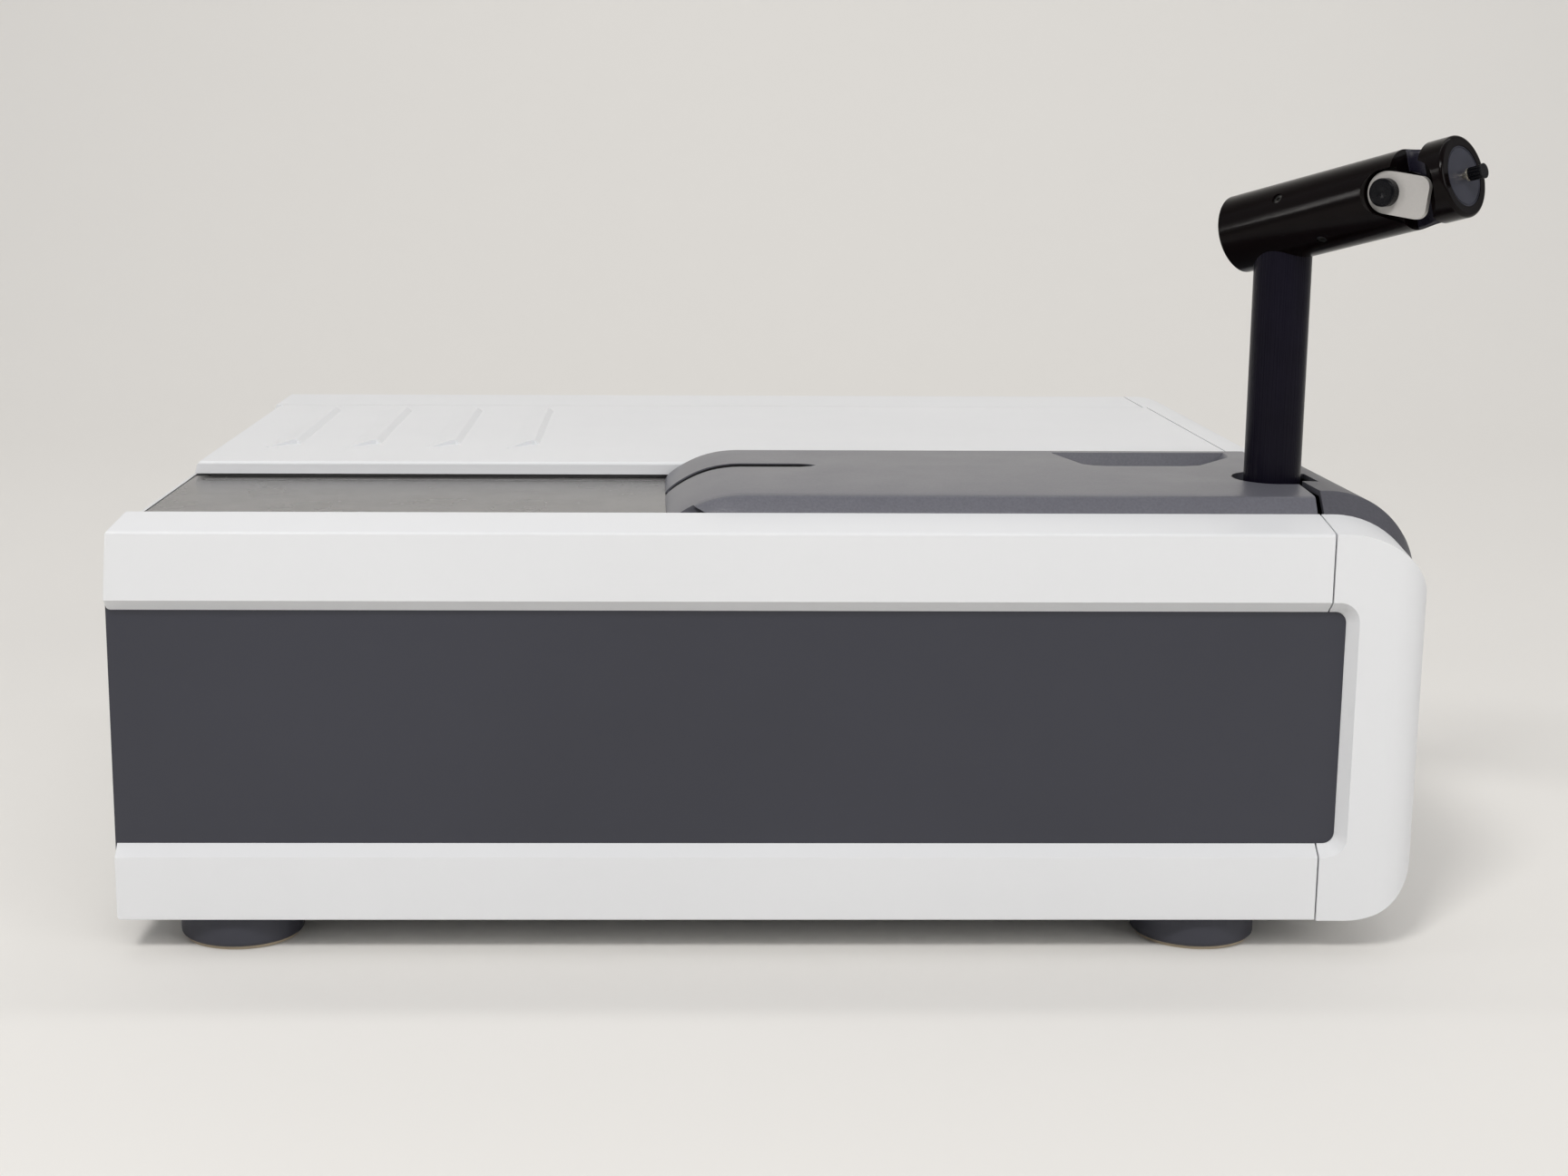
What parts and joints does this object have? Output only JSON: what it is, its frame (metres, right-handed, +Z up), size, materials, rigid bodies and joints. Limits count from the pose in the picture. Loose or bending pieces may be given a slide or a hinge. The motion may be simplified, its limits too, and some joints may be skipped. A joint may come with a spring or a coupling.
{
  "type": "spectrophotometer",
  "caption": "Flat benchtop light-absorption analyser with a sliding sample lid and a periscope arm ending in an angled sampling barrel.",
  "frame": {"origin": "on the bench plane, under the middle of the whole instrument with its periscope", "axes": "+X towards the instrument's front, -Y towards the side with the sliding sample lid, +Z up"},
  "size_m": [0.5874, 0.477, 0.3534],
  "materials": {
    "white_cover": "fine moulded texture, satin",
    "grey_panel": "fine texture, matte",
    "grey_lid": "grained, satin",
    "grey_foot": "matte",
    "foot_felt": "matte pad",
    "zinc_screw": "zinc plated",
    "tray_steel": "satin",
    "rear_paint": "fine texture, satin",
    "black_plastic": "matte",
    "contact_brass": "turned",
    "steel_bright": "brushed",
    "optic_glass": "polished",
    "mirror_face": "polished",
    "cast_bench": "cast",
    "motor_can": "satin",
    "black_anodised": "black anodised, satin",
    "disc_anodised": "blue-grey, satin",
    "plate_satin": "matte light grey",
    "circuit_board": "lacquered",
    "circuit_parts": "matte"
  },
  "bodies": {
    "instrument": {"near_upper_rail": "white_cover", "far_upper_rail": "white_cover", "near_lower_rail": "white_cover", "far_lower_rail": "white_cover", "near_side_panel": "grey_panel", "far_side_panel": "grey_panel", "front_bezel": "white_cover", "front_cap": "grey_lid", "top_deck": "white_cover", "lid_channel": "grey_lid", "lid_guides": "steel_bright", "sample_compartment": "black_plastic", "compartment_windows": "optic_glass", "feet": "grey_foot", "foot_pads": "foot_felt", "foot_screws": "zinc_screw", "base_tray": "tray_steel", "rear_panel": "rear_paint", "rear_screws": "zinc_screw", "mains_inlet": "black_plastic", "inlet_pins": "contact_brass", "rocker_frame": "black_plastic", "data_ports": "steel_bright", "fan_frame": "black_plastic", "optical_bench": "cast_bench", "concave_mirrors": "mirror_face", "optic_mounts": "cast_bench", "entrance_slit": "black_anodised", "grating_motor": "motor_can", "lamp_housing": "cast_bench", "flash_lamp": "optic_glass", "lenses": "optic_glass", "wheel_motor": "motor_can", "beam_splitter": "optic_glass", "detectors": "motor_can", "main_board": "circuit_board", "board_components": "circuit_parts", "power_supply": "steel_bright", "periscope_base": "black_anodised", "base_thumbscrews": "black_anodised"},
    "lid": {"sample_lid": "grey_lid", "lid_runners": "black_plastic"},
    "periscope": {"post": "black_anodised", "barrel": "black_anodised", "barrel_plug": "black_anodised", "set_screws": "steel_bright", "port_ring": "black_anodised", "fold_mirror": "mirror_face"},
    "port_cover": {"port_disc": "disc_anodised", "port_stem": "contact_brass", "port_knob": "black_anodised"},
    "swing_cover": {"swing_plate": "plate_satin", "swing_knob": "black_anodised"},
    "rocker": {"power_rocker": "black_plastic"},
    "fan": {"fan_rotor": "black_plastic"},
    "grating": {"grating_turntable": "black_anodised", "diffraction_grating": "mirror_face"},
    "wheel": {"filter_wheel": "black_plastic", "filter_glasses": "optic_glass"},
    "fuse_holder": {"fuse_drawer": "black_plastic"}
  },
  "joints": [
    {"name": "lid_slide", "type": "slide", "parent": "instrument", "child": "lid", "axis": [-1, 0, 0], "range_m": [0, 0.222]},
    {"name": "periscope_swivel", "type": "hinge", "parent": "instrument", "child": "periscope", "pos_m": [0.2236, -0.161, 0.1], "axis": [0, 0, 1], "range_deg": [-40, 100]},
    {"name": "port_cover_slide", "type": "slide", "parent": "periscope", "child": "port_cover", "axis": [0.6509, -0.7179, 0.247], "range_m": [0, 0.012]},
    {"name": "swing_cover_hinge", "type": "hinge", "parent": "periscope", "child": "swing_cover", "pos_m": [0.25311, -0.21141, 0.32957], "axis": [-0.7408, -0.6717, 0], "range_deg": [-10, 30]},
    {"name": "rocker_tilt", "type": "hinge", "parent": "instrument", "child": "rocker", "pos_m": [-0.2871, 0.122, 0.062], "axis": [0, 1, 0], "range_deg": [-16, 0]},
    {"name": "fan_spin", "type": "hinge", "parent": "instrument", "child": "fan", "pos_m": [-0.2786, 0.04, 0.105], "axis": [1, 0, 0], "continuous": true},
    {"name": "grating_turn", "type": "hinge", "parent": "instrument", "child": "grating", "pos_m": [-0.0654, 0.06, 0.08], "axis": [0, 0, 1], "range_deg": [-30, 30]},
    {"name": "filter_wheel_turn", "type": "hinge", "parent": "instrument", "child": "wheel", "pos_m": [0.1066, 0.15, 0.105], "axis": [1, 0, 0], "continuous": true},
    {"name": "fuse_drawer_slide", "type": "slide", "parent": "instrument", "child": "fuse_holder", "axis": [-1, 0, 0], "range_m": [0, 0.016]}
  ]
}
